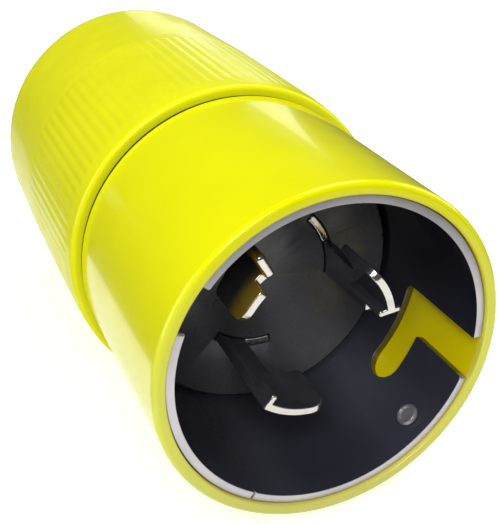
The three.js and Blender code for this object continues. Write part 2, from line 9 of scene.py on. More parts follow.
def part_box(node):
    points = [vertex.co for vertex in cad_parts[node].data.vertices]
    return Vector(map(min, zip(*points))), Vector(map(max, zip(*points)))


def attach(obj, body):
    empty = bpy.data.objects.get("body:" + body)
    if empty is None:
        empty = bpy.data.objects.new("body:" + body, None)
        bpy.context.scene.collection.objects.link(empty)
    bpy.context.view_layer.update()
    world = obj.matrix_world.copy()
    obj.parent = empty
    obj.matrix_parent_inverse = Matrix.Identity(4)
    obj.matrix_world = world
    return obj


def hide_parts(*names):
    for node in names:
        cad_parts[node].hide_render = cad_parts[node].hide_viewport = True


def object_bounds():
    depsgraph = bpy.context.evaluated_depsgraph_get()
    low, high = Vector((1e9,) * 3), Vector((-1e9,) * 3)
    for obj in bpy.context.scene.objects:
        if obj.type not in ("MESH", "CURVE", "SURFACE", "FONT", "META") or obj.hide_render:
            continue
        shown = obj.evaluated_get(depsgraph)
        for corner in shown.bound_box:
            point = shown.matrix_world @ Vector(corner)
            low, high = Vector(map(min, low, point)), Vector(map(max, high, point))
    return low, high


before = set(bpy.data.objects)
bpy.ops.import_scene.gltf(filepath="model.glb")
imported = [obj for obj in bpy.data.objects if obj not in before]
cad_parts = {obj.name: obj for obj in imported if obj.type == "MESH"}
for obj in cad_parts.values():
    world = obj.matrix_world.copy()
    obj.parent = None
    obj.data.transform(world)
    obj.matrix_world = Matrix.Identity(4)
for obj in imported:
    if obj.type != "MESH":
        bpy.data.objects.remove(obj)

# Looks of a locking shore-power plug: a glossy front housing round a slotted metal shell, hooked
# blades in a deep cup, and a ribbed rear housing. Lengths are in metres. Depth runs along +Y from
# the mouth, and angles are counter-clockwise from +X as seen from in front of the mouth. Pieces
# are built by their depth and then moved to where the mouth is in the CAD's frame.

MM = 0.001
cad_box = [[float(value) for value in corner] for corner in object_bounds()]


def lowest(node):
    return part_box(node)[0]


def highest(node):
    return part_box(node)[1]


# ---- sizes taken from the frame ---------------------------------------------------------------

MOUTH = lowest("front_housing").y
FRONT_RADIUS = highest("front_housing").x
SPIGOT_END = highest("front_housing").y - MOUTH
SHELL_OUTER = highest("ground_shell").x
SHELL_FRONT = lowest("ground_shell").y - MOUTH
SHELL_LENGTH = highest("ground_shell").y - MOUTH
FLOOR_DEPTH = lowest("contact_carrier").y - MOUTH
BLADE_TIP = lowest("blade_x").y - MOUTH
BLADE_END = highest("blade_x").y - MOUTH
REAR_FRONT = lowest("rear_housing").y - MOUTH
BODY_LENGTH = highest("rear_housing").y - MOUTH

# ---- sizes that the frame's boxes don't give; angles are in degrees -------------------------------

CORD_RADIUS = 12 * MM
SHELL_INNER = SHELL_OUTER - 1.7 * MM
BORE_RADIUS = SHELL_OUTER + 0.1 * MM
SEAM_DEPTH = REAR_FRONT - 1.2 * MM  # back edge of the front housing's outside
WEB_FRONT = SHELL_LENGTH + 0.3 * MM  # the wall inside the front housing that holds the carrier
WEB_BACK = WEB_FRONT + 5.4 * MM
WEB_HOLE = 19 * MM
SPIGOT_RADIUS = 31.4 * MM  # the sleeve that enters the rear housing
SPIGOT_INNER = 29.2 * MM

SHELL_SEAM_ANGLE = -120.4  # butt joint of the rolled sheet
SHELL_SEAM_GAP = 0.1 * MM
SLOT_ENTRIES = (-5.5, 157.5)  # counter-clockwise edge of each L-shaped slot
SLOT_SPAN = 16
SLOT_LEG_END = 40  # from the entry's edge to the rounded end of the leg
SLOT_DEPTH = 26.2 * MM
SLOT_LEG_WIDTH = 8.7 * MM
SHEET_CORNER = 0.55 * MM
RIVET_ANGLE = -47
RIVET_DEPTH = 6.3 * MM

BLADE_INNER = 15.2 * MM
BLADE_OUTER = 16.9 * MM
HOOK_BACK = 21 * MM
BLADE_FOOT = 3 * MM  # how far the blade's wide foot is let into the floor

LIP_RADIUS = 36.5 * MM  # rear housing, between the seam and the ribs
BACK_RADIUS = 35.8 * MM
RIB_COUNT = 94
RIB_HEIGHT = 0.13 * MM
RIB_START = REAR_FRONT + 3.5 * MM
RIB_END = RIB_START + 39.5 * MM
RIB_RUN_OUT = 1.6 * MM  # length over which a rib fades at either end
WALL = 3 * MM
SOCKET_RADIUS = SPIGOT_RADIUS + 0.4 * MM  # rear housing, where it takes the spigot
CAVITY_RADIUS = 33 * MM
CORD_HOLE = 14.6 * MM

SCREW_CIRCLE = 26.3 * MM  # the two long assembly screws
BOSS_RADIUS = 4 * MM
HEAD_SEAT = BODY_LENGTH - 8 * MM
CLAMP_DEPTH = 115 * MM  # middle of the cord clamp
CLAMP_SCREW_X = 18 * MM
CLAMP_SEAT = -20.6 * MM  # top of the bosses that carry the lower jaw
CLAMP_HEAD_SEAT = -25 * MM


# ---- outlines -----------------------------------------------------------------------------------


def filleted(points, radii, steps=5):
    """A closed outline with each corner rounded to its radius."""
    result = []
    for i, point in enumerate(points):
        radius = radii[i] if isinstance(radii, (list, tuple)) else radii
        here = Vector(point)
        before = Vector(points[i - 1]) - here
        after = Vector(points[(i + 1) % len(points)]) - here
        corner = before.angle(after)
        if radius <= 0 or corner > math.radians(175):
            result.append(tuple(here))
            continue
        reach = min(radius / math.tan(corner / 2), 0.49 * before.length, 0.49 * after.length)
        radius = reach * math.tan(corner / 2)
        middle = before.normalized() + after.normalized()
        centre = here + middle.normalized() * (radius / math.sin(corner / 2))
        first = here + before.normalized() * reach - centre
        last = here + after.normalized() * reach - centre
        sweep = math.atan2(first.x * last.y - first.y * last.x, first.dot(last))
        for k in range(steps + 1):
            turn = Matrix.Rotation(sweep * k / steps, 2)
            result.append(tuple(centre + turn @ first))
    return result


# ---- meshes -------------------------------------------------------------------------------------


def new_piece(name, mesh, body, look, node):
    """A piece built by its depth, which rides on a body and stands for a CAD node."""
    mesh.transform(Matrix.Translation((0, MOUTH, 0)))
    piece = bpy.data.objects.new(name, mesh)
    bpy.context.scene.collection.objects.link(piece)
    mesh.materials.clear()
    mesh.materials.append(look)
    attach(piece, body)
    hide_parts(node)
    return piece


def mesh_from(bm, name):
    """The mesh of a closed bmesh, with its faces pointing out."""
    bmesh.ops.recalc_face_normals(bm, faces=bm.faces)
    if bm.calc_volume(signed=True) < 0:
        bmesh.ops.reverse_faces(bm, faces=bm.faces)
    mesh = bpy.data.meshes.new(name)
    bm.to_mesh(mesh)
    bm.free()
    return mesh


def smooth(mesh, angle=32):
    """Smooth shading, with edges sharper than the angle kept crisp."""
    mesh.shade_smooth()
    mesh.set_sharp_from_angle(angle=math.radians(angle))


def keep_flats_flat(piece):
    """Large faces set the normals, so a rounded edge doesn't shade the flat beside it."""
    modifier = piece.modifiers.new("weighted", "WEIGHTED_NORMAL")
    modifier.keep_sharp = True
    modifier.mode = "FACE_AREA"
    modifier.weight = 80


def revolved(name, profile, steps, ridge=None):
    """A closed profile of (radius, depth) points turned about the Y axis. ridge(angles, radius,
    depth) may add to the radius."""
    angles = np.arange(steps) * math.tau / steps
    rows = []
    for radius, depth in profile:
        reach = np.full(steps, radius)
        if ridge is not None:
            reach = reach + ridge(angles, radius, depth)
        ring = np.stack([reach * np.cos(angles), np.full(steps, depth), reach * np.sin(angles)], 1)
        rows.append(ring)
    points = np.concatenate(rows)
    faces = []
    for j in range(len(profile)):
        k = (j + 1) % len(profile)
        for i in range(steps):
            n = (i + 1) % steps
            faces.append((j * steps + i, j * steps + n, k * steps + n, k * steps + i))
    mesh = bpy.data.meshes.new(name)
    mesh.from_pydata(points.tolist(), [], faces)
    bm = bmesh.new()
    bm.from_mesh(mesh)
    bpy.data.meshes.remove(mesh)
    return mesh_from(bm, name)


def outline_normals(outline):
    """Outward miter vectors of a closed outline."""
    points = np.array(outline)
    ahead = np.roll(points, -1, 0) - points
    side = np.stack([ahead[:, 1], -ahead[:, 0]], 1)
    side /= np.linalg.norm(side, axis=1)[:, None]
    shoelace = points[:, 0] * np.roll(points[:, 1], -1) - np.roll(points[:, 0], -1) * points[:, 1]
    if shoelace.sum() < 0:
        side = -side
    both = side + np.roll(side, 1, 0)
    both /= np.linalg.norm(both, axis=1)[:, None]
    return both / np.maximum((both * side).sum(1), 0.3)[:, None]


def edge_layers(edge, rounds=4):
    """How far a rounded edge is set in at each height above the plate's face."""
    phases = [math.pi / 2 * k / rounds for k in range(rounds + 1)]
    return [(edge * (1 - math.sin(p)), edge * (1 - math.cos(p))) for p in phases]


def flat_plate(outline, thickness, lower_edge, upper_edge):
    """A bmesh of a plate in the X-Y plane, from Z = 0 to its thickness, with rounded edges."""
    points = np.array(outline)
    outward = outline_normals(outline)
    layers = edge_layers(lower_edge)
    layers += [(inset, thickness - height) for inset, height in reversed(edge_layers(upper_edge))]
    bm = bmesh.new()
    rings = []
    for inset, height in layers:
        moved = points - outward * inset
        rings.append([bm.verts.new((x, y, height)) for x, y in moved])
    count = len(outline)
    for lower, upper in zip(rings, rings[1:]):
        for i in range(count):
            n = (i + 1) % count
            bm.faces.new((lower[i], lower[n], upper[n], upper[i]))
    caps = [bm.faces.new(list(reversed(rings[0]))), bm.faces.new(rings[-1])]
    bm.normal_update()
    bmesh.ops.triangulate(bm, faces=caps, ngon_method="EAR_CLIP")
    return bm


def rolled(name, bm, inner, thickness, step=1.5):
    """Cuts a flat plate into narrow strips and rolls it round the Y axis. Its X is the arc length
    at mid-thickness, and its Z runs from the inner face to the outer."""
    middle = inner + thickness / 2
    xs = [v.co.x for v in bm.verts]
    strip = math.radians(step) * middle
    for k in range(math.ceil(min(xs) / strip), math.floor(max(xs) / strip) + 1):
        everything = bm.verts[:] + bm.edges[:] + bm.faces[:]
        bmesh.ops.bisect_plane(bm, geom=everything, dist=1e-7,
                               plane_co=(k * strip, 0, 0), plane_no=(1, 0, 0))
    for vertex in bm.verts:
        angle = vertex.co.x / middle
        radius = inner + vertex.co.z
        vertex.co = (radius * math.cos(angle), vertex.co.y, radius * math.sin(angle))
    mesh = mesh_from(bm, name)
    smooth(mesh, 50)
    normals = []
    for vertex in mesh.vertices:
        across = Vector((vertex.co.x, 0, vertex.co.z))
        radius = across.length
        if radius < inner + 1e-6:
            normals.append(tuple(-across / radius))
        elif radius > inner + thickness - 1e-6:
            normals.append(tuple(across / radius))
        else:
            normals.append(tuple(vertex.normal))
    mesh.normals_split_custom_set_from_vertices(normals)
    return mesh


def rod(radius, low, high, axis, centre, facets=48):
    """A cutter: a cylinder along an axis ('X', 'Y' or 'Z'), between two heights on it."""
    bm = bmesh.new()
    bmesh.ops.create_cone(bm, cap_ends=True, segments=facets, radius1=radius, radius2=radius,
                          depth=high - low)
    turns = {"X": Matrix.Rotation(math.pi / 2, 4, "Y"), "Y": Matrix.Rotation(-math.pi / 2, 4, "X"),
             "Z": Matrix.Identity(4)}
    place = Vector(centre)
    place["XYZ".index(axis)] = (low + high) / 2
    bmesh.ops.transform(bm, matrix=Matrix.Translation(place) @ turns[axis], verts=bm.verts)
    return mesh_from(bm, "rod")


def carved(mesh, cutters):
    """The mesh after its cutters, a list of (operation, mesh)."""
    for operation, cutter_mesh in cutters:
        body = bpy.data.objects.new("body", mesh)
        cutter = bpy.data.objects.new("cutter", cutter_mesh)
        for item in (body, cutter):
            bpy.context.scene.collection.objects.link(item)
        modifier = body.modifiers.new("cut", "BOOLEAN")
        modifier.operation = operation
        modifier.solver = "EXACT"
        modifier.object = cutter
        depsgraph = bpy.context.evaluated_depsgraph_get()
        name = mesh.name
        result = bpy.data.meshes.new_from_object(body.evaluated_get(depsgraph))
        bpy.data.objects.remove(body)
        bpy.data.objects.remove(cutter)
        bpy.data.meshes.remove(mesh)
        bpy.data.meshes.remove(cutter_mesh)
        result.name = name
        mesh = result
    return mesh


# ---- looks --------------------------------------------------------------------------------------


class Look:
    """A node material being built. An input that is another node's socket is linked."""

    def __init__(self, name):
        self.material = bpy.data.materials.new(name)
        self.material.use_nodes = True
        self.tree = self.material.node_tree
        self.tree.nodes.clear()

    def node(self, kind, inputs=None, **settings):
        made = self.tree.nodes.new(kind)
        for key, value in settings.items():
            setattr(made, key, value)
        for key, value in (inputs or {}).items():
            if isinstance(value, bpy.types.NodeSocket):
                self.tree.links.new(value, made.inputs[key])
            else:
                made.inputs[key].default_value = value
        return made

    def place(self):
        return self.node("ShaderNodeTexCoord").outputs["Object"]

    def from_axis(self):
        """The distance from the plug's axis."""
        across = self.node("ShaderNodeVectorMath", {0: self.place(), 1: (1, 0, 1)},
                           operation="MULTIPLY")
        return self.node("ShaderNodeVectorMath", {0: across.outputs[0]},
                         operation="LENGTH").outputs["Value"]

    def along(self, axis, vector=None):
        """One coordinate ('X', 'Y' or 'Z') of the place, or of another vector."""
        parts = self.node("ShaderNodeSeparateXYZ", {"Vector": vector or self.place()})
        return parts.outputs[axis]

    def noise(self, scale, detail=3.0, stretch=(1, 1, 1)):
        mapped = self.node("ShaderNodeMapping", {"Vector": self.place(), "Scale": stretch})
        texture = self.node("ShaderNodeTexNoise", {
            "Vector": mapped.outputs[0], "Scale": scale, "Detail": detail})
        return texture.outputs["Fac"]

    def span(self, value, low, high, start=0.3, end=0.7):
        """A value from start to end spread over low to high."""
        return self.node("ShaderNodeMapRange", {
            "Value": value, "From Min": start, "From Max": end, "To Min": low, "To Max": high,
        }).outputs["Result"]

    def blend(self, share, first, second):
        mix = self.node("ShaderNodeMix", data_type="RGBA")
        for key, value in ((0, share), (6, first), (7, second)):
            if isinstance(value, bpy.types.NodeSocket):
                self.tree.links.new(value, mix.inputs[key])
            else:
                mix.inputs[key].default_value = value
        return mix.outputs[2]

    def sum(self, first, second, operation="ADD"):
        return self.node("ShaderNodeMath", {0: first, 1: second}, operation=operation).outputs[0]

    def edges(self, radius):
        """1 on worn edges and corners, 0 on flats."""
        rounded = self.node("ShaderNodeBevel", {"Radius": radius}, samples=4)
        plain = self.node("ShaderNodeNewGeometry")
        dot = self.node("ShaderNodeVectorMath", {
            0: rounded.outputs[0], 1: plain.outputs["Normal"]}, operation="DOT_PRODUCT")
        return self.span(dot.outputs["Value"], 1.0, 0.0, 0.8, 0.98)

    def bump(self, height, distance, strength=1.0):
        return self.node("ShaderNodeBump", {
            "Height": height, "Distance": distance, "Strength": strength}).outputs[0]

    def finish(self, **inputs):
        """The material, from the Principled shader's inputs written as base_color and so on."""
        shader = self.node("ShaderNodeBsdfPrincipled", {
            key.replace("_", " ").title().replace("Ior", "IOR"): value
            for key, value in inputs.items()})
        output = self.node("ShaderNodeOutputMaterial")
        self.tree.links.new(shader.outputs[0], output.inputs["Surface"])
        return self.material


def rgb(red, green, blue):
    """A linear colour from 0-255 display values."""
    def linear(value):
        value /= 255
        return value / 12.92 if value <= 0.04045 else ((value + 0.055) / 1.055) ** 2.4
    return (linear(red), linear(green), linear(blue), 1.0)


def moulded_yellow(name, light, dark, roughness, coat, coat_roughness, grain):
    """Moulded plastic: faint mottling, a fine surface grain, and edges rubbed paler. The bore round
    the sleeve is painted a darker yellow as painted shade, and the mouth's rim is painted paler
    along its lower half as painted glare, a painted highlight."""
    look = Look(name)
    mottle = look.span(look.noise(60, 4), 0.0, 1.0)
    base = look.blend(mottle, dark, light)
    # Painted shade: the bore round the sleeve is painted a darker, more orange yellow.
    bore = look.span(look.from_axis(), 1.0, 0.0, BORE_RADIUS + 0.1 * MM, BORE_RADIUS + 0.5 * MM)
    base = look.blend(bore, base, rgb(232, 214, 0))
    # Painted highlight: near the mouth, the rim's lower half is blended halfway to a pale, greyish
    # yellow as painted glare. It is greyest at the bottom and fades out 24 mm above the axis.
    rim = look.span(look.along("Y"), 1.0, 0.0, MOUTH + 0.9 * MM, MOUTH + 1.8 * MM)
    height = look.along("Z")
    painted_rim_glare = look.blend(look.span(height, 0.0, 1.0, -30 * MM, -8 * MM),
                         rgb(196, 196, 142), rgb(226, 232, 124))
    lower_rim = look.sum(rim, look.span(height, 0.5, 0.0, 0, 24 * MM), "MULTIPLY")
    base = look.blend(lower_rim, base, painted_rim_glare)
    worn = look.sum(look.edges(0.4 * MM), look.span(look.noise(500, 2), 0.0, 0.5), "MULTIPLY")
    base = look.blend(worn, base, rgb(250, 250, 120))
    rough = look.span(look.noise(220, 3), roughness * 0.8, roughness * 1.25)
    normal = look.bump(look.noise(1500, 4), grain)
    return look.finish(base_color=base, roughness=rough, normal=normal, coat_weight=coat,
                       coat_roughness=coat_roughness, specular_ior_level=0.3,
                       specular_tint=(1, 1, 0.2, 1))


def plated_metal(name, light, dark, roughness, brush=(1, 1, 1)):
    """Plated or bare metal: faint brushing, stains, and brighter rubbed edges."""
    look = Look(name)
    stain = look.span(look.noise(180, 4), 0.0, 1.0)
    base = look.blend(stain, dark, light)
    base = look.blend(look.edges(0.25 * MM), base, tuple(min(1, c * 1.25) for c in light))
    scratch = look.noise(900, 3, brush)
    rough = look.span(scratch, roughness * 0.7, roughness * 1.4)
    normal = look.bump(scratch, 0.01 * MM)
    return look.finish(base_color=base, metallic=1.0, roughness=rough, normal=normal)


def dark_plastic(name, light, dark, roughness, grain=0.02 * MM, metallic=0.0):
    """Plastic, rubber or dull metal: faint mottling, a fine grain, and edges rubbed to grey."""
    look = Look(name)
    base = look.blend(look.span(look.noise(90, 4), 0.0, 1.0), dark, light)
    worn = look.sum(look.edges(0.3 * MM), 0.35, "MULTIPLY")
    base = look.blend(worn, base, rgb(110, 110, 112))
    rough = look.span(look.noise(320, 3), roughness * 0.8, roughness * 1.2)
    normal = look.bump(look.noise(1800, 3), grain)
    return look.finish(base_color=base, roughness=rough, normal=normal, metallic=metallic)


def shell_metal():
    """The sleeve's rolled sheet: bright where it was cut at the mouth, with painted shade along the
    top.
    The cut faces in the slots carry painted shade with a painted yellow reflection. The inner face
    is painted nearly black as a painted reflection of the dark cup, with painted shade darkest along
    its upper side."""
    look = Look("shell_metal")
    # Painted reflection: the inner face is painted nearly black, standing for the dark cup it
    # mirrors. Painted shade makes it darker from 20 mm below the axis to 6 mm above it.
    inside = look.span(look.from_axis(), 1.0, 0.0, SHELL_INNER + 0.01 * MM, SHELL_INNER + 0.09 * MM)
    streaks = look.span(look.noise(40, 4, (1, 0.15, 1)), 0.0, 1.0)
    lower = look.blend(streaks, rgb(50, 50, 62), rgb(76, 76, 90))
    upper = look.blend(streaks, rgb(16, 16, 26), rgb(28, 28, 44))
    dark = look.blend(look.span(look.along("Z"), 0.0, 1.0, -20 * MM, 6 * MM), lower, upper)
    patches = look.span(look.noise(90, 3), 0.0, 1.0)
    bright = look.blend(patches, rgb(182, 179, 184), rgb(192, 189, 190))
    # Painted shade: the bright cut metal is painted darker higher up, from 4 mm to 24 mm above the
    # axis.
    shaded = look.blend(patches, rgb(136, 134, 134), rgb(146, 144, 142))
    bright = look.blend(look.span(look.along("Z"), 0.0, 1.0, 4 * MM, 24 * MM), bright, shaded)
    # Painted shade with a painted yellow reflection: cut faces more than 2 mm from the mouth, in the
    # slots, are painted a darker, brownish grey.
    painted_slot_shade = look.blend(patches, rgb(112, 106, 88), rgb(132, 126, 108))
    depth = look.along("Y")
    cut = look.blend(look.span(depth, 0.0, 1.0, MOUTH + SHELL_FRONT + 0.7 * MM,
                               MOUTH + SHELL_FRONT + 2 * MM), bright, painted_slot_shade)
    # The painted dark reflection and shade go on the inner face, and the cut colours go everywhere
    # else.
    base = look.blend(inside, cut, dark)
    metallic = look.span(inside, 1.0, 0.3, 0, 1)
    rough = look.sum(look.span(inside, 0.42, 0.2, 0, 1), look.span(look.noise(400, 3), 0, 0.06))
    normal = look.bump(look.noise(700, 3, (1, 0.3, 1)), 0.008 * MM)
    return look.finish(base_color=base, metallic=metallic, roughness=rough, normal=normal)


def blade_metal(name, painted_reflection=0.0):
    """Plated contact metal. Faces turned towards the mouth, the cut tips among them, are painted
    bright as a painted highlight, and the sides are painted darker as a painted reflection of the
    dark cup. The painted reflection amount, from 0 to 1, paints the hook gold-yellow behind its tip
    as a painted reflection of the yellow bore."""
    look = Look(name)
    facing = look.along("Y", look.node("ShaderNodeTexCoord").outputs["Normal"])
    # Painted highlight: faces turned towards the mouth, the cut tips among them, are painted bright.
    # The sides are painted darker, as a painted reflection of the dark cup.
    tip = look.span(facing, 1.0, 0.0, -0.9, -0.45)
    stain = look.span(look.noise(180, 4), 0.0, 1.0)
    side = look.blend(stain, rgb(92, 92, 104), rgb(112, 112, 122))
    # Painted reflection: behind its tip the hook is painted gold-yellow, standing for the yellow
    # bore that it mirrors through the slot.
    painted_yellow_reflection = look.blend(stain, rgb(214, 176, 60), rgb(236, 202, 92))
    near_tip = look.span(look.along("Y"), painted_reflection, 0.0, MOUTH + BLADE_TIP + 3.5 * MM,
                         MOUTH + BLADE_TIP + 6.5 * MM)
    side = look.blend(near_tip, side, painted_yellow_reflection)
    # The painted highlight colour for the faces turned towards the mouth.
    bright = look.blend(stain, rgb(186, 182, 174), rgb(206, 202, 194))
    base = look.blend(tip, side, bright)
    scratch = look.noise(900, 3, (1, 0.2, 1))
    rough = look.span(scratch, 0.12, 0.26)
    return look.finish(base_color=base, metallic=look.span(tip, 0.75, 1.0, 0, 1), roughness=rough,
                       normal=look.bump(scratch, 0.01 * MM))


looks = {
    "yellow_gloss": moulded_yellow("yellow_gloss", rgb(240, 239, 4), rgb(235, 234, 0), 0.2,
                                   0.35, 0.05, 0.004 * MM),
    "yellow_satin": moulded_yellow("yellow_satin", rgb(240, 240, 22), rgb(234, 234, 18), 0.4,
                                   0.22, 0.12, 0.015 * MM),
    "black_plastic": dark_plastic("black_plastic", rgb(46, 46, 50), rgb(34, 34, 38), 0.4),
    "carrier_plastic": dark_plastic("carrier_plastic", rgb(84, 84, 87), rgb(74, 74, 78), 0.3),
    "black_rubber": dark_plastic("black_rubber", rgb(34, 34, 36), rgb(24, 24, 26), 0.75, 0.05 * MM),
    "rivet": dark_plastic("rivet", rgb(206, 204, 208), rgb(120, 118, 122), 0.35, 0.08 * MM, 0.6),
    "blade": blade_metal("blade"),
    # Blade y's hook carries a painted reflection of the yellow bore.
    "blade_painted_reflection": blade_metal("blade_painted_reflection", 1.0),
    "nickel": plated_metal("nickel", rgb(226, 222, 214), rgb(196, 190, 180), 0.2, (1, 0.2, 1)),
    "steel": plated_metal("steel", rgb(200, 202, 206), rgb(168, 170, 176), 0.3),
    "brass": plated_metal("brass", rgb(214, 182, 96), rgb(176, 140, 66), 0.28),
    "shell": shell_metal(),
}


# ---- front end ----------------------------------------------------------------------------------


def build_front_housing():
    edge = 0.5 * MM
    corners = [
        (BORE_RADIUS, 0, 0.4 * MM), (FRONT_RADIUS, 0, 1.7 * MM),
        (FRONT_RADIUS, SEAM_DEPTH, 0.25 * MM), (SPIGOT_RADIUS, SEAM_DEPTH, 0.3 * MM),
        (SPIGOT_RADIUS, SPIGOT_END, edge), (SPIGOT_INNER, SPIGOT_END, edge),
        (SPIGOT_INNER, WEB_BACK, edge), (WEB_HOLE, WEB_BACK, edge),
        (WEB_HOLE, WEB_FRONT, edge), (BORE_RADIUS, WEB_FRONT, 0.3 * MM),
    ]
    profile = filleted([c[:2] for c in corners], [c[2] for c in corners], 6)
    mesh = revolved("front_housing_skin", profile, 256)
    pilot_radius = 2.2 * MM
    pilot_end = WEB_FRONT + 1.4 * MM
    cutters = []
    for side in (1, -1):
        centre = (0, 0, side * SCREW_CIRCLE)
        boss = rod(BOSS_RADIUS, WEB_BACK - MM, SPIGOT_END - 0.3 * MM, "Y", centre)
        pilot = rod(pilot_radius, pilot_end, SPIGOT_END + MM, "Y", centre)
        cutters += [("UNION", boss), ("DIFFERENCE", pilot)]
    mesh = carved(mesh, cutters)
    smooth(mesh)
    piece = new_piece("front_housing_skin", mesh, "front",
                      looks["yellow_gloss"], "front_housing")
    keep_flats_flat(piece)


def slot_corners(entry, arc):
    """One L-shaped slot's corners, walked from the mouth's clockwise side, as (x, depth, radius)."""
    near = SLOT_DEPTH - SLOT_LEG_WIDTH
    far = entry - SLOT_SPAN
    end = entry - SLOT_LEG_END
    return [
        (arc(far), SHELL_FRONT, SHEET_CORNER), (arc(far), near, 0.6 * MM),
        (arc(end), near, SLOT_LEG_WIDTH / 2), (arc(end), SLOT_DEPTH, SLOT_LEG_WIDTH / 2),
        (arc(entry), SLOT_DEPTH - 0.8 * MM, 2 * MM), (arc(entry), SHELL_FRONT, SHEET_CORNER),
    ]


def build_ground_shell():
    thickness = SHELL_OUTER - SHELL_INNER
    middle = SHELL_INNER + thickness / 2

    def arc(degrees):
        return math.radians(degrees) * middle

    gap = SHELL_SEAM_GAP / 2
    start = arc(SHELL_SEAM_ANGLE) + gap
    end = arc(SHELL_SEAM_ANGLE + 360) - gap
    corners = [(start, SHELL_LENGTH, SHEET_CORNER), (start, SHELL_FRONT, SHEET_CORNER)]
    for entry in SLOT_ENTRIES:
        corners += slot_corners(entry, arc)
    corners += [(end, SHELL_FRONT, SHEET_CORNER), (end, SHELL_LENGTH, SHEET_CORNER)]
    outline = filleted([c[:2] for c in corners], [c[2] for c in corners], 8)
    mesh = rolled("ground_shell_sheet", flat_plate(outline, thickness, 0.15 * MM, 0.2 * MM),
                  SHELL_INNER, thickness)
    new_piece("ground_shell_sheet", mesh, "front", looks["shell"], "ground_shell")


def build_rivet():
    """A rivet's head: a thin rolled rim round a flat, rough middle."""
    seat = SHELL_INNER - 0.3 * MM
    radius = (highest("shell_rivet") - lowest("shell_rivet")).y / 2
    middle = seat - 0.5 * MM
    crest = seat - 0.95 * MM
    shank = 1.2 * MM
    off_axis = 0.02 * MM  # the outline turns about the axis, so it can't touch it
    profile = filleted([
        (off_axis, middle), (radius - 1.0 * MM, middle), (radius - 0.75 * MM, crest),
        (radius - 0.35 * MM, crest), (radius, seat - 0.4 * MM), (radius - 0.1 * MM, seat),
        (shank, seat), (shank, BORE_RADIUS), (off_axis, BORE_RADIUS),
    ], 0.12 * MM, 4)
    mesh = revolved("shell_rivet_head", profile, 48)
    lie_down = Matrix.Rotation(-math.pi / 2, 4, "Z")
    turn = Matrix.Rotation(-math.radians(RIVET_ANGLE), 4, "Y") @ lie_down
    mesh.transform(Matrix.Translation((0, RIVET_DEPTH, 0)) @ turn)
    smooth(mesh, 40)
    new_piece("shell_rivet_head", mesh, "front", looks["rivet"], "shell_rivet")


# The shank and the hook each run between two angles. "front" is the depth of the shank's front
# edge where the hook begins further round. "radii" and "depths" are the flange's extents.
BLADES = {
    "x": {
        "look": "blade", "shank": (-128, -104), "hook": (-130, -80),
        "flange": {"angle": -130, "radii": (13.4 * MM, 16 * MM), "depths": (BLADE_TIP, 14 * MM),
                   "thickness": 1.3 * MM, "edge": 0.4 * MM},
    },
    "y": {
        "look": "blade_painted_reflection", "shank": (118, 139), "front": 12 * MM, "hook": (131, 157),
        "flange": {"angle": 118, "radii": (16 * MM, 21.5 * MM),
                   "depths": (10 * MM, FLOOR_DEPTH + BLADE_FOOT),
                   "thickness": 2 * MM, "edge": 0.8 * MM},
    },
    "w": {
        "look": "blade", "shank": (-8, 20), "front": 17 * MM, "hook": (7, 47),
        "flange": {"angle": 7, "radii": (13.2 * MM, 18 * MM), "depths": (BLADE_TIP, HOOK_BACK),
                   "thickness": 1.3 * MM, "edge": 0.4 * MM},
    },
}


def blade_outline(blade, arc):
    """The blade's developed shape: a hook across the tip, a shank, and a foot at the floor."""
    shank_start, shank_end = (arc(a) for a in blade["shank"])
    hook_start, hook_end = (arc(a) for a in blade["hook"])
    foot_end = hook_end - arc(2)
    foot_back = FLOOR_DEPTH + BLADE_FOOT
    foot_front = FLOOR_DEPTH - 0.06 * MM
    small = 0.5 * MM
    corners = [
        (hook_start, BLADE_TIP, 0.8 * MM), (hook_end, BLADE_TIP, 3 * MM),
        (hook_end, HOOK_BACK, 1.2 * MM), (shank_end, HOOK_BACK, 1.5 * MM),
        (shank_end, foot_front, small), (foot_end, foot_front, small),
        (foot_end, foot_back, small), (shank_end, foot_back, small),
        (shank_end, BLADE_END, small), (shank_start, BLADE_END, small),
    ]
    step_depth = blade["front"] if hook_start > shank_start else HOOK_BACK
    corners.append((shank_start, step_depth, small))
    corners.append((hook_start, step_depth, small))
    return filleted([c[:2] for c in corners], [c[2] for c in corners], 5)


def flange_mesh(blade):
    """A flat plate that stands out from the axis, with rounded edges, at one angle."""
    flange = blade["flange"]
    inner, outer = flange["radii"]
    front, back = flange["depths"]
    edge = flange["edge"]
    corners = [(inner, front), (outer, front), (outer, back), (inner, back)]
    outline = filleted(corners, edge + 0.2 * MM, 4)
    bm = flat_plate(outline, flange["thickness"], edge, edge)
    turn = Matrix.Rotation(-math.radians(flange["angle"]), 4, "Y")
    bmesh.ops.transform(bm, matrix=turn, verts=bm.verts)
    mesh = mesh_from(bm, "flange")
    smooth(mesh, 50)
    return mesh


def build_blade(pole):
    blade = BLADES[pole]
    thickness = BLADE_OUTER - BLADE_INNER
    middle = BLADE_INNER + thickness / 2

    def arc(degrees):
        return math.radians(degrees) * middle

    outline = blade_outline(blade, arc)
    name = f"blade_{pole}_metal"
    edge = 0.3 * MM
    mesh = rolled(name, flat_plate(outline, thickness, edge, edge), BLADE_INNER, thickness, 2)
    mesh = carved(mesh, [("UNION", flange_mesh(blade))])
    smooth(mesh, 40)
    piece = new_piece(name, mesh, "front", looks[blade["look"]], f"blade_{pole}")
    keep_flats_flat(piece)


# ---- rear end -----------------------------------------------------------------------------------


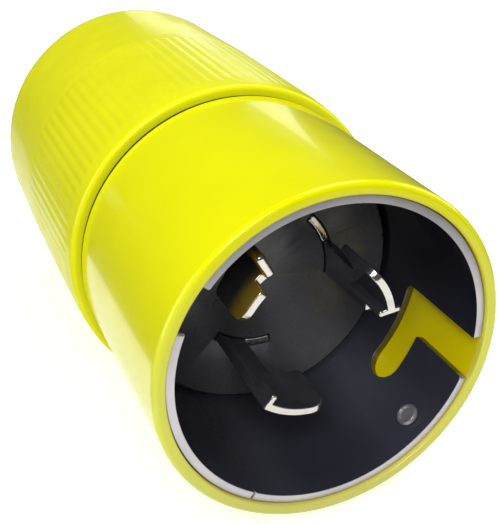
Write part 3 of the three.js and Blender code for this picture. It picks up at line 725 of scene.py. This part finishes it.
def rib_ridge(angles, radius, depth):
    """Fine rounded ribs along the grip, which run out at both ends."""
    if radius < LIP_RADIUS - 0.5 * MM or not RIB_START - MM < depth < RIB_END + MM:
        return 0.0
    share = min(depth - RIB_START, RIB_END - depth) / RIB_RUN_OUT
    share = min(max(share, 0.0), 1.0)
    share = share * share * (3 - 2 * share)
    wave = 0.5 + 0.5 * np.cos(angles * RIB_COUNT)
    return share * RIB_HEIGHT * (wave ** 0.8)


def rear_profile(back_wall):
    """The rear housing's outline, from its lip over the ribs to the cord hole and back inside."""
    root = LIP_RADIUS + 0.1 * MM
    socket_end = SPIGOT_END + 2 * MM
    steps = 4
    corners = [
        (SOCKET_RADIUS, REAR_FRONT, 0.4 * MM), (LIP_RADIUS, REAR_FRONT, 1.4 * MM),
        (LIP_RADIUS, RIB_START - 1.2 * MM, 1 * MM), (root, RIB_START, 0),
    ]
    for k in range(1, steps + 1):
        corners.append((root, RIB_START + RIB_RUN_OUT * k / steps, 0))
    corners.append((root, (RIB_START + RIB_END) / 2, 0))
    for k in range(steps, 0, -1):
        corners.append((root, RIB_END - RIB_RUN_OUT * k / steps, 0))
    corners += [
        (root, RIB_END, 0), (root + 0.12 * MM, RIB_END + 2.5 * MM, 3 * MM),
        (BACK_RADIUS, BODY_LENGTH, 7 * MM),
        (CORD_HOLE, BODY_LENGTH, 0.5 * MM), (CORD_HOLE, back_wall, 0.4 * MM),
        (BACK_RADIUS - WALL, back_wall, 1.5 * MM), (CAVITY_RADIUS, RIB_END, 2 * MM),
        (CAVITY_RADIUS, socket_end + 1.2 * MM, 0.4 * MM), (SOCKET_RADIUS, socket_end, 0.4 * MM),
    ]
    return filleted([c[:2] for c in corners], [c[2] for c in corners], 6)


def assembly_bosses(back_wall):
    """Two long bosses for the assembly screws, with a clearance hole and a counterbore each."""
    past_back = BODY_LENGTH + MM
    hole_radius = 2.3 * MM
    head_radius = 4.2 * MM
    collar_radius = 5.6 * MM
    cutters = []
    for side in (1, -1):
        centre = (0, 0, side * SCREW_CIRCLE)
        collar_back = back_wall + 1.3 * MM
        cutters += [
            ("UNION", rod(BOSS_RADIUS, SPIGOT_END + 0.3 * MM, back_wall + MM, "Y", centre)),
            ("UNION", rod(collar_radius, HEAD_SEAT - 3 * MM, collar_back, "Y", centre)),
            ("DIFFERENCE", rod(hole_radius, SPIGOT_END - MM, past_back, "Y", centre)),
            ("DIFFERENCE", rod(head_radius, HEAD_SEAT, past_back, "Y", centre)),
        ]
    return cutters


def clamp_bosses():
    """Two bosses that rise from the wall to carry the lower jaw, bored for the clamp's screws. They
    are trimmed to the wall, so that they don't stand out of the housing."""
    half_length = 10 * MM
    hole_radius = 2.9 * MM
    head_radius = 4.9 * MM
    boss_low = -30.2 * MM
    below = -40 * MM
    cutters = []
    for side in (1, -1):
        centre = (side * CLAMP_SCREW_X, CLAMP_DEPTH, 0)
        wall = rod(BACK_RADIUS - 1.2 * MM, CLAMP_DEPTH - half_length, CLAMP_DEPTH + half_length,
                   "Y", (0, 0, 0), 96)
        boss = carved(rod(6.6 * MM, boss_low, CLAMP_SEAT, "Z", centre), [("INTERSECT", wall)])
        cutters += [
            ("UNION", boss),
            ("DIFFERENCE", rod(hole_radius, below, -19 * MM, "Z", centre)),
            ("DIFFERENCE", rod(head_radius, below, CLAMP_HEAD_SEAT, "Z", centre)),
        ]
    return cutters


def build_rear_housing():
    back_wall = BODY_LENGTH - WALL - 0.5 * MM
    around = RIB_COUNT * 8
    mesh = revolved("rear_housing_skin", rear_profile(back_wall), around, rib_ridge)
    mesh = carved(mesh, assembly_bosses(back_wall) + clamp_bosses())
    smooth(mesh, 38)
    piece = new_piece("rear_housing_skin", mesh, "rear",
                      looks["yellow_satin"], "rear_housing")
    keep_flats_flat(piece)


def build_gasket():
    front = SEAM_DEPTH + 0.1 * MM
    back = REAR_FRONT - 0.1 * MM
    outer = FRONT_RADIUS - 0.15 * MM
    inner = SPIGOT_RADIUS + 0.3 * MM
    profile = filleted([(inner, front), (outer, front), (outer, back), (inner, back)], 0.25 * MM, 4)
    mesh = revolved("seam_gasket_ring", profile, 192)
    smooth(mesh, 60)
    new_piece("seam_gasket_ring", mesh, "front", looks["black_rubber"],
              "seam_gasket")


def build_grommet():
    front = lowest("cord_grommet").y - MOUTH
    back = highest("cord_grommet").y - MOUTH
    wall_front = BODY_LENGTH - WALL - 0.8 * MM
    wall_back = BODY_LENGTH + 0.3 * MM
    neck = CORD_HOLE - 0.3 * MM
    lip = highest("cord_grommet").x
    corners = [
        (CORD_RADIUS, front), (lip - 0.6 * MM, front), (lip, wall_front), (neck, wall_front),
        (neck, wall_back), (lip, wall_back), (lip - 0.3 * MM, back - 0.6 * MM),
        (lip - 1.6 * MM, back), (CORD_RADIUS + 0.8 * MM, back), (CORD_RADIUS, back - 0.8 * MM),
    ]
    bead = 0.5 * MM
    beads = 6
    for k in range(beads, 0, -1):
        depth = front + (back - front) * k / (beads + 1)
        corners.append((CORD_RADIUS + bead * (k % 2), depth))
    profile = filleted(corners, 0.35 * MM, 4)
    mesh = revolved("cord_grommet_ring", profile, 128)
    smooth(mesh, 50)
    new_piece("cord_grommet_ring", mesh, "rear", looks["black_rubber"],
              "cord_grommet")


# ---- the other pieces keep their CAD shape, with rounded edges -----------------------------------


def dress_node(node, look, edge):
    """A CAD node with softened edges and a procedural material."""
    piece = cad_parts[node]
    piece.data.materials.clear()
    piece.data.materials.append(looks[look])
    piece.data.shade_smooth()
    weld = piece.modifiers.new("weld", "WELD")
    weld.merge_threshold = 0.002 * MM
    bevel = piece.modifiers.new("bevel", "BEVEL")
    bevel.width = edge
    bevel.segments = 3
    bevel.limit_method = "ANGLE"
    bevel.angle_limit = math.radians(35)
    bevel.harden_normals = True


DRESSED = {
    "contact_carrier": ("carrier_plastic", 0.2 * MM),
    "terminal_holder": ("black_plastic", 0.3 * MM),
    "clamp_saddle_upper": ("black_plastic", 0.5 * MM),
    "clamp_jaw_lower": ("black_plastic", 0.5 * MM),
    "clamp_nut_left": ("steel", 0.25 * MM),
    "clamp_nut_right": ("steel", 0.25 * MM),
    "clamp_screw_left": ("steel", 0.25 * MM),
    "clamp_screw_right": ("steel", 0.25 * MM),
    "assembly_screw_1": ("steel", 0.25 * MM),
    "assembly_screw_2": ("steel", 0.25 * MM),
    "insulator_screw_1": ("steel", 0.2 * MM),
    "insulator_screw_2": ("steel", 0.2 * MM),
    "ground_strap": ("brass", 0.2 * MM),
}
for pole in "xywg":
    DRESSED[f"terminal_block_{pole}"] = ("brass", 0.3 * MM)
    DRESSED[f"pressure_pad_{pole}"] = ("nickel", 0.15 * MM)
    DRESSED[f"terminal_screw_{pole}"] = ("steel", 0.2 * MM)


# ---- floor, light and camera ----------------------------------------------------------------------


# each light's place, the point it faces, its width and height, and its power in watts
LIGHTS = {
    "softbox_key": ((-0.35, -0.6, 0.6), (0, 0.03, 0), (0.5, 0.5), 6.2),
    "softbox_left": ((-0.8, 0.05, 0.2), (0, 0.03, 0), (0.5, 0.5), 2.7),
    "softbox_right": ((0.8, 0.0, 0.35), (0, 0.03, 0), (0.5, 0.5), 1.8),
    "softbox_top": ((0.3, 0.1, 0.85), (0, 0.03, 0), (0.5, 0.5), 4.0),
    "window_behind": ((0.32, 0.684, 0.125), (0, -0.016, 0.03), (0.14, 0.24), 0.13),
    "window_far": ((0.23, 0.76, 0.13), (0, 0.1, 0.036), (0.13, 0.12), 0.1),
    "strip_behind": ((-0.36, 0.684, 0.06), (0, 0, 0.03), (0.03, 0.07), 0.003),
}


def build_floor():
    """A white table top under the plug; past its edges the studio is dark, as reflections show.
    Light that bounces off it softly is dimmer than it looks, and so is the mirror image of its
    part behind the plug on the right, so that neither fills the cup."""
    height = cad_box[0][2] - 0.2 * MM
    mesh = bpy.data.meshes.new("studio_floor")
    left, right = -0.077, 0.16
    front, back = MOUTH - 0.3, MOUTH + 0.4
    corners = [(left, front, height), (right, front, height), (right, back, height),
               (left, back, height)]
    mesh.from_pydata(corners, [], [(0, 1, 2, 3)])
    look = Look("studio_floor")
    bounced = look.node("ShaderNodeLightPath").outputs["Is Diffuse Ray"]
    base = look.blend(bounced, (0.85, 0.85, 0.85, 1), (0.45, 0.45, 0.45, 1))
    mirrored = look.node("ShaderNodeLightPath").outputs["Is Glossy Ray"]
    behind = look.sum(look.span(look.along("Y"), 0.0, 1.0, 0.02, 0.06),
                      look.span(look.along("X"), 0.0, 1.0, -0.01, 0.02), "MULTIPLY")
    dimmed = look.sum(mirrored, behind, "MULTIPLY")
    base = look.blend(dimmed, base, (0.1, 0.1, 0.1, 1))
    glow = look.sum(look.span(bounced, 0.5, 0.1, 0, 1), look.sum(dimmed, 0.5, "MULTIPLY"),
                    "SUBTRACT")
    mesh.materials.append(look.finish(base_color=base, roughness=0.9,
                                      emission_color=(1, 1, 1, 1), emission_strength=glow))
    floor = bpy.data.objects.new("studio_floor", mesh)
    bpy.context.scene.collection.objects.link(floor)


def build_light(name, place, target, size, watts):
    data = bpy.data.lights.new(name, "AREA")
    data.shape = "RECTANGLE"
    data.size, data.size_y = size
    data.energy = watts
    light = bpy.data.objects.new(name, data)
    light.location = place
    light.rotation_euler = (Vector(target) - Vector(place)).to_track_quat("-Z", "Y").to_euler()
    bpy.context.scene.collection.objects.link(light)


def build_world():
    """White behind the plug for the camera, and a dim studio for everything else."""
    world = bpy.data.worlds.new("studio")
    world.use_nodes = True
    tree = world.node_tree
    background = tree.nodes["Background"]
    background.inputs["Color"].default_value = (1, 1, 1, 1)
    seen = tree.nodes.new("ShaderNodeLightPath")
    strength = tree.nodes.new("ShaderNodeMapRange")
    strength.inputs["To Min"].default_value = 0.08
    strength.inputs["To Max"].default_value = 1.02
    tree.links.new(seen.outputs["Is Camera Ray"], strength.inputs["Value"])
    tree.links.new(strength.outputs["Result"], background.inputs["Strength"])
    bpy.context.scene.world = world


def build_camera():
    """The camera looks down on the mouth from the left."""
    right = Vector((0.9259, -0.3777, 0.0))
    up = Vector((0.1730, 0.4240, 0.8890))
    back = right.cross(up)
    from_mouth = Vector((-69.24, -128.34, 94.78)) * MM
    data = bpy.data.cameras.new("camera")
    data.sensor_width = 36
    data.lens = 65.84
    data.clip_start = 0.01
    camera = bpy.data.objects.new("camera", data)
    place = from_mouth + Vector((0, MOUTH, 0))
    turn = Matrix((right, up, back)).transposed().to_4x4()
    camera.matrix_world = Matrix.Translation(place) @ turn
    bpy.context.scene.collection.objects.link(camera)
    bpy.context.scene.camera = camera


build_front_housing()
build_ground_shell()
build_rivet()
for pole in BLADES:
    build_blade(pole)
build_rear_housing()
build_gasket()
build_grommet()
for node, (look, edge) in DRESSED.items():
    dress_node(node, look, edge)

build_floor()
for name, (place, target, size, watts) in LIGHTS.items():
    build_light(name, place, target, size, watts)
build_world()
build_camera()
bpy.context.scene.view_settings.view_transform = "Standard"
